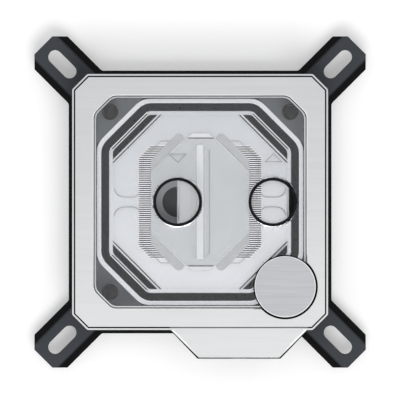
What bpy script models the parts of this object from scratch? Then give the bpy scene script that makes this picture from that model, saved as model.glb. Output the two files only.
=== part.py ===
"""CPU water block: a finned cold plate under a clear two-port top, held by an X shaped mounting bracket.

Metres, +Z up. The origin is the middle of the cold plate's contact face, which lies at z = 0.
"""

from math import cos, pi, radians, sin, sqrt, tan

import bmesh
import bpy
from mathutils import Matrix, Vector

# Fit between pieces
CLEARANCE = 0.0003
CUT_MARGIN = 0.001
WELD = 0.000001

# Cover frame, whose outline the pieces under it follow
FRAME_HALF = 0.0352
FRAME_CORNER_CUT = 0.0042
FRAME_CORNER = 0.0009
FRAME_RIM = 0.0059
WINDOW_CORNER_CUT = 0.0050
WINDOW_CORNER = 0.0030
WINDOW_CHAMFER = 0.00025
LIP_THICKNESS = 0.0020
LIP_CHAMFER = 0.0005
PLATEAU_STEP = 0.0008
PLATEAU_INSET = 0.0008
PLATEAU_CHAMFER = 0.0002
STEP_GROOVE_WIDTH = 0.00025
STEP_GROOVE_DEPTH = 0.0004
TAB_HALF_WIDTH = 0.0187
TAB_REACH = 0.0076
TAB_SIDE_INSET = 0.0058

# Mounting bracket
BRACKET_HALF = 0.0457
BRACKET_THICKNESS = 0.0015
BRACKET_TUCK = 0.0019
BRACKET_LEDGE = 0.0008
BRACKET_WINDOW_CUT = 0.0126
ARM_HALF_WIDTH = 0.0035
FLANGE_REACH = 0.00295
BEND_RADIUS = 0.0020
BEND_ANGLE = radians(50)
ARM_FILLET = 0.0042
SLOT_END = 0.0057
SLOT_LENGTH = 0.0040
SLOT_RADIUS = 0.0019

# Main gasket
GASKET_MARGIN = 0.00125
GASKET_WIDTH = 0.00215
GASKET_HEIGHT = 0.0018
GASKET_CORNER = 0.0045
GASKET_EDGE = 0.0005

# Corner seals, inside the gasket's slanted runs
SEAL_LAND = 0.00105
SEAL_WIDTH = 0.0016
SEAL_WALL = 0.00095
SEAL_HEIGHT = 0.0018
SEAL_CORNER = 0.0017
SEAL_EDGE = 0.0002

# Clear top
TOP_THICKNESS = 0.0093
TOP_INSET = 0.0009
ISLAND_RISE = 0.0025
ISLAND_CHAMFER = 0.0004
CHAMBER_LAND = 0.0011
CHAMBER_DEPTH = 0.0062
SEAT_STEP = 0.0007
SEAT_CORNER_CUT = 0.0051
BRIDGE_WIDTH = 0.0027
BRIDGE_FLARE = 0.0026
BRIDGE_OVERRUN = 0.00002
FUNNEL_REACH = 0.01135
FUNNEL_WALL = 0.0058
PORT_RADIUS = 0.00677
PORT_MOUTH_CHAMFER = 0.00025
PORT_THREAD_DEPTH = 0.0060
PORT_CORE_RADIUS = 0.0061
PORT_DEPTH = 0.0077
PORT_WELL_RADIUS = 0.0042
PORT_WELL_DEPTH = 0.0010
INLET_X = -0.0062

# Cold plate
PAD_SETBACK = 0.0072
PAD_CORNER = 0.0020
PAD_HEIGHT = 0.0015
FLANGE_OVERLAP = 0.0007
FLANGE_CORNER = 0.0020
FLANGE_THICKNESS = 0.0030
FIN_CHANNEL = 0.0071
FIN_END_GAP = 0.00084
FIN_PITCH = 0.000573
FIN_SLOT_WIDTH = 0.00029
FIN_DEPTH = 0.0023

# Jet plate and flow insert
JET_SIDE_GAP = 0.00335
JET_END_GAP = 0.0064
JET_END_HALF_WIDTH = 0.0040
JET_EAR_WIDTH = 0.0029
JET_EAR_OVERLAP = 0.0003
JET_EAR_TIP = 0.0058
JET_THICKNESS = 0.0006
JET_SLIT_WIDTH = 0.0005
INSERT_THICKNESS = 0.0025
NOZZLE_END_WALL = 0.0019
NOZZLE_HALF_WIDTH = 0.00245
NOZZLE_DEPTH = 0.0012
NOZZLE_CORNER = 0.0020
SLIT_CORNER = 0.0008
SLIT_WIDTH = 0.0019

# Badge on the frame's corner
BADGE_SIDE_INSET = 0.0118
BADGE_END_INSET = 0.0119
BADGE_LUG_RADIUS = 0.0085
BADGE_LUG_RELIEF = 0.0004
BADGE_SEAT_RADIUS = 0.0087
BADGE_SEAT_THICKNESS = 0.0008
BADGE_RADIUS = 0.0084
BADGE_THICKNESS = 0.0008
BADGE_EDGE = 0.0002

# Light strip and its housing under the frame's tab
HOUSING_RIM = 0.00033
HOUSING_WALL = 0.0012
CABLE_NOTCH_WIDTH = 0.0040
CABLE_NOTCH_HEIGHT = 0.0030
BOARD_END_GAP = 0.0047
BOARD_HEIGHT = 0.0065
BOARD_THICKNESS = 0.0010
LED_COUNT = 4
LED_PITCH = 0.0072
LED_SIZE = 0.0050
LED_DEPTH = 0.0010
LED_LENS_RADIUS = 0.0018
LED_LENS_DEPTH = 0.0003

# Screws
CORNER_SCREW_SETBACK = 0.0037
CORNER_SCREW_RADIUS = 0.00195
CORNER_SCREW_HEAD = 0.0034
CORNER_SCREW_RISE = 0.0077
SMALL_SCREW_RADIUS = 0.00095
SMALL_SCREW_HEAD = 0.0017
SMALL_SCREW_HEAD_HEIGHT = 0.0013
SMALL_SCREW_GRIP = 0.0013
SCREW_RECESS = 0.0005
DOME_SHARE = 0.4
DRIVE_SHARE = 0.62
DRIVE_DEPTH = 0.0009
FRAME_SCREW_REACH = 0.0120
HOUSING_SCREW_REACH = 0.0078
HOUSING_SCREW_INSET = 0.0026
HOUSING_POST_WALL = 0.0004

# Smoothness of round forms
ARC_STEPS = 4
ROUND_STEPS = 24
SMALL_STEPS = 16
PORT_STEPS = 48
BADGE_STEPS = 64
FUNNEL_STEPS = 24

# Levels, from the contact face up
COLD_PLATE_TOP = PAD_HEIGHT + FLANGE_THICKNESS
INNER_FLOOR = COLD_PLATE_TOP + CLEARANCE
JET_TOP = INNER_FLOOR + JET_THICKNESS
INSERT_BOTTOM = JET_TOP + CLEARANCE
INSERT_TOP = INSERT_BOTTOM + INSERT_THICKNESS
SEAT_CEILING = INSERT_TOP + CLEARANCE
CHAMBER_CEILING = INNER_FLOOR + CHAMBER_DEPTH
GASKET_TOP = INNER_FLOOR + GASKET_HEIGHT
SEAL_TOP = INNER_FLOOR + SEAL_HEIGHT
BRACKET_BOTTOM = COLD_PLATE_TOP + CLEARANCE
BRACKET_TOP = BRACKET_BOTTOM + BRACKET_THICKNESS
TOP_BOTTOM = BRACKET_TOP + CLEARANCE
TOP_SHOULDER = TOP_BOTTOM + TOP_THICKNESS
ISLAND_TOP = TOP_SHOULDER + ISLAND_RISE
FRAME_BOTTOM = TOP_SHOULDER + CLEARANCE
LIP_TOP = FRAME_BOTTOM + LIP_THICKNESS
PLATEAU_TOP = LIP_TOP + PLATEAU_STEP
PORT_FLOOR = ISLAND_TOP - PORT_DEPTH
BADGE_SEAT_BOTTOM = LIP_TOP + CLEARANCE
BADGE_SEAT_TOP = BADGE_SEAT_BOTTOM + BADGE_SEAT_THICKNESS
BADGE_BOTTOM = BADGE_SEAT_TOP + CLEARANCE
CORNER_SCREW_BOTTOM = PAD_HEIGHT + SCREW_RECESS
SMALL_SCREW_BOTTOM = TOP_BOTTOM + SCREW_RECESS
SMALL_SCREW_LENGTH = FRAME_BOTTOM + SMALL_SCREW_GRIP - SMALL_SCREW_BOTTOM


def slant(half_x, half_y, corner_cut):
    """Distance from the middle to the slanted edges that take corner_cut off a box's corners."""
    return (half_x + half_y - corner_cut) / sqrt(2)


# Outlines, nested from the frame's edge inwards
FRAME_DIAGONAL = slant(FRAME_HALF, FRAME_HALF, FRAME_CORNER_CUT)
TOP_HALF = FRAME_HALF - TOP_INSET
TOP_DIAGONAL = FRAME_DIAGONAL - TOP_INSET
WINDOW_HALF = FRAME_HALF - FRAME_RIM
WINDOW_DIAGONAL = slant(WINDOW_HALF, WINDOW_HALF, WINDOW_CORNER_CUT)
BRACKET_BODY_HALF = FRAME_HALF - BRACKET_TUCK
BRACKET_WINDOW = WINDOW_HALF - BRACKET_LEDGE
BRACKET_WINDOW_DIAGONAL = slant(BRACKET_WINDOW, BRACKET_WINDOW, BRACKET_WINDOW_CUT)
FLANGE_HALF = BRACKET_WINDOW + FLANGE_OVERLAP
PAD_HALF = FLANGE_HALF - PAD_SETBACK
GASKET_OUTER = BRACKET_WINDOW - GASKET_MARGIN
GASKET_OUTER_DIAGONAL = BRACKET_WINDOW_DIAGONAL - GASKET_MARGIN
GASKET_INNER = GASKET_OUTER - GASKET_WIDTH
GASKET_INNER_DIAGONAL = GASKET_OUTER_DIAGONAL - GASKET_WIDTH
BOSS_CORNER = GASKET_CORNER + GASKET_MARGIN
SEAL_OUTER = GASKET_INNER_DIAGONAL - SEAL_LAND
SEAL_INNER = SEAL_OUTER - SEAL_WIDTH
CHAMBER_HALF = GASKET_INNER - CHAMBER_LAND
CHAMBER_DIAGONAL = SEAL_INNER - SEAL_WALL
FIN_FIELD_HALF = CHAMBER_HALF - FIN_CHANNEL
JET_HALF_WIDTH = FIN_FIELD_HALF - JET_SIDE_GAP
JET_HALF_LENGTH = CHAMBER_HALF - JET_END_GAP
JET_DIAGONAL = (JET_HALF_LENGTH + JET_END_HALF_WIDTH) / sqrt(2)
NOZZLE_HALF_LENGTH = JET_HALF_LENGTH - NOZZLE_END_WALL
SEAT_HALF_WIDTH = FIN_FIELD_HALF - FIN_END_GAP
SEAT_HALF_LENGTH = JET_HALF_LENGTH - SEAT_STEP
SEAT_DIAGONAL = slant(SEAT_HALF_WIDTH, SEAT_HALF_LENGTH, SEAT_CORNER_CUT)
FIN_FIELD_DIAGONAL = SEAT_DIAGONAL + FIN_END_GAP
FIN_SLOT_COUNT = int(2 * NOZZLE_HALF_LENGTH / FIN_PITCH)

# Places worked out from neighbours
CORNERS = [(1, 1), (-1, 1), (-1, -1), (1, -1)]
CORNER_SCREW_PLACE = (BRACKET_WINDOW_DIAGONAL + CORNER_SCREW_SETBACK) / sqrt(2)
SLOT_OUTER = BRACKET_HALF - SLOT_END
SLOT_INNER = SLOT_OUTER - SLOT_LENGTH
OUTLET_X = (SEAT_HALF_WIDTH + CHAMBER_HALF) / 2
RIM_MIDDLE = (WINDOW_HALF + TOP_HALF) / 2
BADGE_X = FRAME_HALF - BADGE_SIDE_INSET
BADGE_Y = BADGE_END_INSET - FRAME_HALF
TAB_CENTRE = FRAME_HALF - TAB_SIDE_INSET - TAB_HALF_WIDTH
TAB_EDGE = -FRAME_HALF - TAB_REACH
HOUSING_BACK = -TOP_HALF - CLEARANCE
BOARD_Y = HOUSING_BACK - CLEARANCE - LED_DEPTH - CLEARANCE - BOARD_THICKNESS / 2
LIGHT_LEVEL = (TOP_BOTTOM + HOUSING_WALL + TOP_SHOULDER) / 2
HOUSING_SCREW_Y = TAB_EDGE + HOUSING_SCREW_INSET


def clear_scene():
    for item in list(bpy.data.objects):
        bpy.data.objects.remove(item, do_unlink=True)
    for collection in list(bpy.data.collections):
        bpy.data.collections.remove(collection)


def new_collection(name):
    collection = bpy.data.collections.new(name)
    bpy.context.scene.collection.children.link(collection)
    return collection


def finish(name, colour, roughness, metallic, see_through=0.0):
    material = bpy.data.materials.new(name)
    material.use_nodes = True
    shader = material.node_tree.nodes["Principled BSDF"]
    shader.inputs["Base Color"].default_value = (*colour, 1)
    shader.inputs["Roughness"].default_value = roughness
    shader.inputs["Metallic"].default_value = metallic
    shader.inputs["Transmission Weight"].default_value = see_through
    return material


def show(solid, material):
    """Puts a finished solid among the part's pieces, with its own material and smooth round faces."""
    PIECES.objects.link(solid)
    solid.data.materials.clear()
    solid.data.materials.append(material)
    solid.data.shade_smooth()
    solid.data.set_sharp_from_angle(angle=radians(30))
    return solid


def as_cutter(solid):
    """Keeps a solid as a tool for the Boolean modifiers of others."""
    CUTTERS.objects.link(solid)
    solid.hide_render = True
    solid.display_type = "WIRE"
    return solid


def combine(solid, tool, operation):
    modifier = solid.modifiers.new(operation.lower() + "_" + tool.name, "BOOLEAN")
    modifier.operation = operation
    modifier.object = as_cutter(tool) if tool.name not in CUTTERS.objects else tool
    return solid


def cut(solid, *tools):
    for tool in tools:
        combine(solid, tool, "DIFFERENCE")
    return solid


def join(solid, *tools):
    for tool in tools:
        combine(solid, tool, "UNION")
    return solid


def octagon(half_x, diagonal, half_y=None):
    """Corners of a box with its corners cut off at a distance from the middle, anticlockwise."""
    half_y = half_x if half_y is None else half_y
    reach = diagonal * sqrt(2)
    quarter = [Vector((half_x, reach - half_x)), Vector((reach - half_y, half_y))]
    corners = []
    for sign_x, sign_y in CORNERS:
        turned = [Vector((sign_x * x, sign_y * y)) for x, y in quarter]
        corners += turned if sign_x * sign_y > 0 else turned[::-1]
    return corners


def square(half):
    return [Vector((x * half, y * half)) for x, y in CORNERS]


def box_outline(left, right, low, high):
    return [Vector((right, high)), Vector((left, high)), Vector((left, low)), Vector((right, low))]


def rounded(corners, radius, steps=ARC_STEPS):
    """The same outline with an arc in place of each corner."""
    outline = []
    for index, corner in enumerate(corners):
        back = (corners[index - 1] - corner).normalized()
        ahead = (corners[(index + 1) % len(corners)] - corner).normalized()
        half_angle = back.angle(ahead) / 2
        centre = corner + (back + ahead).normalized() * radius / sin(half_angle)
        start = corner + back * radius / tan(half_angle) - centre
        end = corner + ahead * radius / tan(half_angle) - centre
        spokes = [start.slerp(end, step / steps).normalized() * radius for step in range(steps + 1)]
        outline += [centre + spoke for spoke in spokes]
    return outline


def rounded_between(corners, radius):
    """An open line with an arc at each of its corners but its two ends."""
    arc = ARC_STEPS + 1
    return [corners[0], *rounded(corners, radius)[arc:-arc], corners[-1]]


def circle(x, y, radius, steps=ROUND_STEPS):
    turns = [2 * pi * step / steps for step in range(steps)]
    return [Vector((x + radius * cos(turn), y + radius * sin(turn))) for turn in turns]


def stadium(start, end, radius, steps=ARC_STEPS * 2):
    """Outline of a slot with round ends between two centres."""
    heading = (end - start).normalized() * radius
    outline = []
    for centre, first_turn in ((end, -pi / 2), (start, pi / 2)):
        for step in range(steps + 1):
            turn = Matrix.Rotation(first_turn + pi * step / steps, 2)
            outline.append(centre + turn @ heading)
    return outline


def flat_solid(name, outlines, bottom, top):
    """A flat outline, with any holes given as further outlines, as thick as its two levels are apart."""
    curve = bpy.data.curves.new(name, "CURVE")
    curve.dimensions = "2D"
    curve.fill_mode = "BOTH"
    curve.extrude = (top - bottom) / 2
    for outline in outlines:
        spline = curve.splines.new("POLY")
        spline.points.add(len(outline) - 1)
        for point, (x, y) in zip(spline.points, outline):
            point.co = (x, y, 0, 1)
        spline.use_cyclic_u = True
    drawn = bpy.data.objects.new(name + "_outline", curve)
    drawn.location.z = (bottom + top) / 2
    bpy.context.scene.collection.objects.link(drawn)
    bpy.context.view_layer.update()
    evaluated = drawn.evaluated_get(bpy.context.evaluated_depsgraph_get())
    mesh = bpy.data.meshes.new_from_object(evaluated)
    weld(mesh)
    solid = bpy.data.objects.new(name, mesh)
    solid.matrix_world = drawn.matrix_world.copy()
    bpy.data.objects.remove(drawn)
    return solid


def stacked_solid(name, layers):
    """A solid whose sides run straight between outlines of equally many points, each at its own level."""
    shape = bmesh.new()
    rings = [[shape.verts.new((x, y, level)) for x, y in outline] for outline, level in layers]
    for lower, upper in zip(rings, rings[1:]):
        for i in range(len(lower)):
            shape.faces.new((lower[i - 1], lower[i], upper[i], upper[i - 1]))
    shape.faces.new(rings[0][::-1])
    shape.faces.new(rings[-1])
    mesh = bpy.data.meshes.new(name)
    shape.to_mesh(mesh)
    shape.free()
    return bpy.data.objects.new(name, mesh)


def weld(mesh):
    shape = bmesh.new()
    shape.from_mesh(mesh)
    bmesh.ops.remove_doubles(shape, verts=shape.verts, dist=WELD)
    shape.to_mesh(mesh)
    shape.free()


def chamfer_top(solid, width, segments=1):
    """Bevels the edges of a flat solid's upper face."""
    mesh = solid.data
    level = max(vertex.co.z for vertex in mesh.vertices) - WELD
    weights = mesh.attributes.new("bevel_weight_edge", "FLOAT", "EDGE")
    for edge in mesh.edges:
        on_top = all(mesh.vertices[index].co.z > level for index in edge.vertices)
        weights.data[edge.index].value = 1.0 if on_top else 0.0
    bevel = solid.modifiers.new("edge", "BEVEL")
    bevel.limit_method = "WEIGHT"
    bevel.width = width
    bevel.segments = segments
    return solid


def soften(solid, width):
    """Breaks all the sharp edges of a solid."""
    bevel = solid.modifiers.new("edge", "BEVEL")
    bevel.limit_method = "ANGLE"
    bevel.angle_limit = radians(50)
    bevel.width = width
    bevel.segments = 1
    return solid


def turned_solid(name, profile, x, y, bottom, steps=ROUND_STEPS):
    """A solid turned about an upright axis from a profile of radius and height, run from top to bottom."""
    mesh = bpy.data.meshes.new(name)
    points = [(radius, 0, height) for radius, height in profile]
    mesh.from_pydata(points, [(i, i + 1) for i in range(len(points) - 1)], [])
    solid = bpy.data.objects.new(name, mesh)
    solid.location = (x, y, bottom)
    screw = solid.modifiers.new("turn", "SCREW")
    screw.steps = steps
    screw.render_steps = steps
    screw.use_merge_vertices = True
    screw.merge_threshold = WELD
    screw.use_smooth_shade = True
    return solid


def round_cutter(name, radius, x, y, bottom, top, steps=ROUND_STEPS):
    height = top - bottom
    return turned_solid(name, [(0, height), (radius, height), (radius, 0), (0, 0)], x, y, bottom, steps)


def hexagon_cutter(name, across_corners, x, y, bottom, depth):
    mesh = bpy.data.meshes.new(name)
    shape = bmesh.new()
    bmesh.ops.create_cone(
        shape,
        cap_ends=True,
        segments=6,
        radius1=across_corners,
        radius2=across_corners,
        depth=depth + CUT_MARGIN,
    )
    shape.to_mesh(mesh)
    shape.free()
    solid = bpy.data.objects.new(name, mesh)
    solid.location = (x, y, bottom + (depth - CUT_MARGIN) / 2)
    return solid


def corner_screw_profile(extra):
    """Countersunk screw from its domed tip down to its head, with every surface moved out by extra."""
    radius = CORNER_SCREW_RADIUS + extra
    head = CORNER_SCREW_HEAD + extra
    height = TOP_BOTTOM + CORNER_SCREW_RISE - CORNER_SCREW_BOTTOM + extra
    dome = [
        (radius * sin(turn), height - DOME_SHARE * radius * (1 - cos(turn)))
        for turn in (pi / 2 * step / ARC_STEPS for step in range(ARC_STEPS + 1))
    ]
    cone_top = head - radius + CLEARANCE
    return [*dome, (radius, cone_top), (head, CLEARANCE), (head, 0), (0, 0)]


def corner_screw_hole(name, x, y):
    """Countersunk hole with a flat end, open below the cold plate's flange."""
    tip, *dome, neck, rim, _, _ = corner_screw_profile(CLEARANCE)
    opening = -SCREW_RECESS - CUT_MARGIN
    profile = [tip, (dome[-1][0], tip[1]), neck, rim, (rim[0], opening), (0, opening)]
    return turned_solid(name, profile, x, y, CORNER_SCREW_BOTTOM)


def small_screw_profile(extra):
    """Flat headed screw from its tip down to its head, with every surface moved out by extra."""
    radius = SMALL_SCREW_RADIUS + extra
    head = SMALL_SCREW_HEAD + extra
    tip = SMALL_SCREW_LENGTH + extra
    neck = SMALL_SCREW_HEAD_HEIGHT + extra
    return [(0, tip), (radius, tip), (radius, neck), (head, neck), (head, 0), (0, 0)]


def small_screw_hole(name, x, y):
    """Stepped hole that lets a small screw in from below."""
    profile = small_screw_profile(CLEARANCE)
    head = profile[-2][0]
    opening = -SCREW_RECESS - CUT_MARGIN
    opened = [*profile[:-2], (head, opening), (0, opening)]
    return turned_solid(name, opened, x, y, SMALL_SCREW_BOTTOM, SMALL_STEPS)


def fin_slots():
    """The channels between the fins, shorter where the field's corners are cut off."""
    mesh = bpy.data.meshes.new("fin_slots")
    shape = bmesh.new()
    for index in range(FIN_SLOT_COUNT):
        y = (index - (FIN_SLOT_COUNT - 1) / 2) * FIN_PITCH
        length = 2 * min(FIN_FIELD_HALF, FIN_FIELD_DIAGONAL * sqrt(2) - abs(y))
        height = FIN_DEPTH + CUT_MARGIN
        place = Matrix.Translation((0, y, COLD_PLATE_TOP - FIN_DEPTH + height / 2))
        size = Matrix.Diagonal((length, FIN_SLOT_WIDTH, height, 1))
        bmesh.ops.create_cube(shape, size=1, matrix=place @ size)
    shape.to_mesh(mesh)
    shape.free()
    return bpy.data.objects.new("fin_slots", mesh)


def make_cold_plate():
    flange = rounded(square(FLANGE_HALF), FLANGE_CORNER)
    pad = rounded(square(PAD_HALF), PAD_CORNER)
    plate = flat_solid("cold_plate", [flange], PAD_HEIGHT, COLD_PLATE_TOP)
    join(plate, flat_solid("contact_pad", [pad], 0, COLD_PLATE_TOP - FIN_DEPTH / 2))
    cut(plate, fin_slots())
    for number, (sign_x, sign_y) in enumerate(CORNERS, 1):
        x, y = sign_x * CORNER_SCREW_PLACE, sign_y * CORNER_SCREW_PLACE
        cut(plate, corner_screw_hole(f"corner_hole_{number}", x, y))
    return show(plate, finish("nickel_plated_copper", (0.62, 0.63, 0.64), 0.25, 1.0))


def ear_outline(sign_x, sign_y):
    """One diagonal ear of the jet plate, from the line of the plate's side to its round tip."""
    side = JET_HALF_WIDTH
    inner = (JET_DIAGONAL - JET_EAR_OVERLAP) * sqrt(2) - side
    outer = inner + JET_EAR_WIDTH * sqrt(2)
    middle = (inner + outer) / 2
    tip = Vector((JET_EAR_TIP, side + middle - JET_EAR_TIP))
    steps = ARC_STEPS * 2
    round_tip = stadium(Vector((side, middle)), tip, JET_EAR_WIDTH / 2, steps)[:steps + 1]
    outline = [Vector((side, inner)), Vector((side, outer)), *round_tip]
    return [Vector((sign_x * point.x, sign_y * point.y)) for point in outline]


def make_jet_plate():
    outline = octagon(JET_HALF_WIDTH, JET_DIAGONAL, JET_HALF_LENGTH)
    half_slit = JET_SLIT_WIDTH / 2
    slit = box_outline(-half_slit, half_slit, -NOZZLE_HALF_LENGTH, NOZZLE_HALF_LENGTH)
    plate = flat_solid("jet_plate", [outline, slit], INNER_FLOOR, JET_TOP)
    for number, signs in enumerate(CORNERS, 1):
        join(plate, flat_solid(f"jet_ear_{number}", [ear_outline(*signs)], INNER_FLOOR, JET_TOP))
    return show(plate, finish("stainless_sheet", (0.58, 0.59, 0.60), 0.30, 1.0))


def make_flow_insert():
    outline = octagon(JET_HALF_WIDTH, JET_DIAGONAL, JET_HALF_LENGTH)
    nozzle_floor = INSERT_TOP - NOZZLE_DEPTH
    nozzle = box_outline(-NOZZLE_HALF_WIDTH, NOZZLE_HALF_WIDTH, -NOZZLE_HALF_LENGTH, NOZZLE_HALF_LENGTH)
    half_slit = SLIT_WIDTH / 2
    slit = box_outline(-half_slit, half_slit, -NOZZLE_HALF_LENGTH, NOZZLE_HALF_LENGTH)
    insert = flat_solid("flow_insert", [outline], INSERT_BOTTOM, INSERT_TOP)
    nozzle_top = INSERT_TOP + CUT_MARGIN
    slit_bottom, slit_top = INSERT_BOTTOM - CUT_MARGIN, nozzle_floor + CUT_MARGIN
    cut(
        insert,
        flat_solid("nozzle", [rounded(nozzle, NOZZLE_CORNER)], nozzle_floor, nozzle_top),
        flat_solid("nozzle_slit", [rounded(slit, SLIT_CORNER)], slit_bottom, slit_top),
    )
    return show(insert, finish("pale_insert", (0.60, 0.62, 0.64), 0.35, 0.0))


def make_main_gasket():
    outer = rounded(octagon(GASKET_OUTER, GASKET_OUTER_DIAGONAL), GASKET_CORNER)
    inner = rounded(octagon(GASKET_INNER, GASKET_INNER_DIAGONAL), GASKET_CORNER - GASKET_WIDTH)
    gasket = soften(flat_solid("main_gasket", [outer, inner], INNER_FLOOR, GASKET_TOP), GASKET_EDGE)
    return show(gasket, finish("black_rubber", (0.06, 0.06, 0.065), 0.70, 0.0))


def seal_outline(sign_x, sign_y, extra=0.0):
    """A slanted strip with round outer corners, between the chamber's side lines, moved out by extra."""
    end = CHAMBER_HALF + extra
    inner = (SEAL_INNER - extra) * sqrt(2) - end
    outer = (SEAL_OUTER + extra) * sqrt(2) - end
    corners = [(end, inner), (end, outer), (outer, end), (inner, end)]
    turned = [Vector((sign_x * x, sign_y * y)) for x, y in corners]
    return rounded_between(turned, SEAL_CORNER + extra)


def make_corner_seals():
    for number, signs in enumerate(CORNERS, 1):
        seal = flat_solid(f"corner_seal_{number}", [seal_outline(*signs)], INNER_FLOOR, SEAL_TOP)
        show(chamfer_top(seal, SEAL_EDGE), finish(f"seal_rubber_{number}", (0.06, 0.06, 0.065), 0.70, 0.0))


def bracket_edge(outward):
    """Edge of the bracket between two arms, moved outward from the edge of its flat top."""
    half_width = ARM_HALF_WIDTH + outward
    body = BRACKET_BODY_HALF + outward
    tip = Vector((BRACKET_HALF - half_width * sqrt(2), BRACKET_HALF))
    corner = Vector((body - half_width * sqrt(2), body))
    mirrored_corner = Vector((-corner.x, corner.y))
    mirrored_tip = Vector((-tip.x, tip.y))
    return rounded_between([tip, corner, mirrored_corner, mirrored_tip], ARM_FILLET - outward)


def flange_steps():
    """How far out and how far down the folded flange goes: round the bend, then straight."""
    bend = [
        (BEND_RADIUS * sin(turn), BEND_RADIUS * (1 - cos(turn)))
        for turn in (BEND_ANGLE * step / ARC_STEPS for step in range(ARC_STEPS + 1))
    ]
    straight = FLANGE_REACH - bend[-1][0]
    return [*bend, (FLANGE_REACH, bend[-1][1] + straight * tan(BEND_ANGLE))]


def make_mounting_bracket():
    """Pressed sheet: a flat cross with folded flanges between its arms, then its window and slots."""
    shape = bmesh.new()
    flat_top = []
    for quarter in range(4):
        turn = Matrix.Rotation(quarter * pi / 2, 4, "Z")
        rows = []
        for outward, drop in flange_steps():
            points = [Vector((x, y, BRACKET_TOP - drop)) for x, y in bracket_edge(outward)]
            rows.append([shape.verts.new(turn @ point) for point in points])
        for upper, lower in zip(rows, rows[1:]):
            for i in range(len(upper) - 1):
                shape.faces.new((upper[i], upper[i + 1], lower[i + 1], lower[i]))
        flat_top += rows[0]
    shape.faces.new(flat_top)
    bmesh.ops.recalc_face_normals(shape, faces=shape.faces)
    mesh = bpy.data.meshes.new("mounting_bracket")
    shape.to_mesh(mesh)
    shape.free()
    bracket = bpy.data.objects.new("mounting_bracket", mesh)
    sheet = bracket.modifiers.new("sheet", "SOLIDIFY")
    sheet.thickness = BRACKET_THICKNESS
    sheet.offset = -1
    sheet.use_even_offset = True
    low, high = BRACKET_BOTTOM - CUT_MARGIN, BRACKET_TOP + CUT_MARGIN
    window = octagon(BRACKET_WINDOW, BRACKET_WINDOW_DIAGONAL)
    cut(bracket, flat_solid("bracket_window", [rounded(window, BOSS_CORNER)], low, high))
    for number, (sign_x, sign_y) in enumerate(CORNERS, 1):
        direction = Vector((sign_x, sign_y))
        slot = stadium(direction * SLOT_INNER, direction * SLOT_OUTER, SLOT_RADIUS)
        x, y = direction * CORNER_SCREW_PLACE
        cut(
            bracket,
            flat_solid(f"arm_slot_{number}", [slot], low, high),
            round_cutter(f"bracket_hole_{number}", CORNER_SCREW_RADIUS + CLEARANCE, x, y, low, high),
        )
    return show(bracket, finish("black_coated_steel", (0.035, 0.036, 0.04), 0.45, 0.2))


def gasket_groove():
    outlines = [
        rounded(octagon(GASKET_OUTER + extra, GASKET_OUTER_DIAGONAL + extra), GASKET_CORNER + extra)
        for extra in (CLEARANCE, -GASKET_WIDTH - CLEARANCE)
    ]
    return flat_solid("gasket_groove", outlines, INNER_FLOOR - CUT_MARGIN, GASKET_TOP + CLEARANCE)


def seal_slot(number, sign_x, sign_y):
    outline = seal_outline(sign_x, sign_y, CLEARANCE)
    return flat_solid(f"seal_slot_{number}", [outline], INNER_FLOOR - CUT_MARGIN, SEAL_TOP + CLEARANCE)


def bridge(number, side):
    """Rib across the outflow chamber, flared at both ends, that keeps its two halves apart."""
    inner, outer = SEAT_HALF_WIDTH - BRIDGE_OVERRUN, CHAMBER_HALF + BRIDGE_OVERRUN
    half = BRIDGE_WIDTH / 2
    steps = ARC_STEPS * 2
    turns = [pi / 2 * step / steps for step in range(steps + 1)]
    flare = [(BRIDGE_FLARE * (1 - cos(turn)), half + BRIDGE_FLARE * (1 - sin(turn))) for turn in turns]
    end = [(-CLEARANCE, half + BRIDGE_FLARE), *flare]
    upper = [Vector((outer - inset, y)) for inset, y in end]
    upper += [Vector((inner + inset, y)) for inset, y in reversed(end)]
    outline = [Vector((side * point.x, point.y)) for point in upper]
    outline += [Vector((point.x, -point.y)) for point in reversed(outline)]
    low, high = INNER_FLOOR - 2 * CUT_MARGIN, CHAMBER_CEILING + CUT_MARGIN
    return flat_solid(f"bridge_{number}", [outline], low, high)


def outflow_chamber():
    """The chamber round the fins, less the insert's seat and the two bridges that stand in it."""
    outline = octagon(CHAMBER_HALF, CHAMBER_DIAGONAL)
    seat = octagon(SEAT_HALF_WIDTH, SEAT_DIAGONAL, SEAT_HALF_LENGTH)
    seat_end = octagon(JET_HALF_WIDTH, JET_DIAGONAL, JET_HALF_LENGTH)
    above = CHAMBER_CEILING + CUT_MARGIN
    return cut(
        flat_solid("chamber", [outline], INNER_FLOOR - CUT_MARGIN, CHAMBER_CEILING),
        flat_solid("insert_seat", [seat], SEAT_CEILING, above),
        flat_solid("insert_seat_end", [seat_end], SEAT_CEILING, above),
        bridge(1, 1),
        bridge(2, -1),
    )


def funnel():
    """Pocket that spreads the inlet's flow along the whole nozzle."""
    half_slit = SLIT_WIDTH / 2
    end = NOZZLE_HALF_LENGTH
    outline = []
    for step in range(FUNNEL_STEPS + 1):
        y = end * (2 * step / FUNNEL_STEPS - 1)
        reach = half_slit + FUNNEL_REACH * cos(pi / 2 * y / end) ** 2
        outline.append(Vector((-min(reach, FUNNEL_WALL), y)))
    for x, y in ((half_slit, end), (NOZZLE_HALF_WIDTH, end - half_slit)):
        outline.append(Vector((x, y)))
    for x, y in ((NOZZLE_HALF_WIDTH, half_slit - end), (half_slit, -end)):
        outline.append(Vector((x, y)))
    return flat_solid("funnel", [outline], SEAT_CEILING - CUT_MARGIN, CHAMBER_CEILING)


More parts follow.
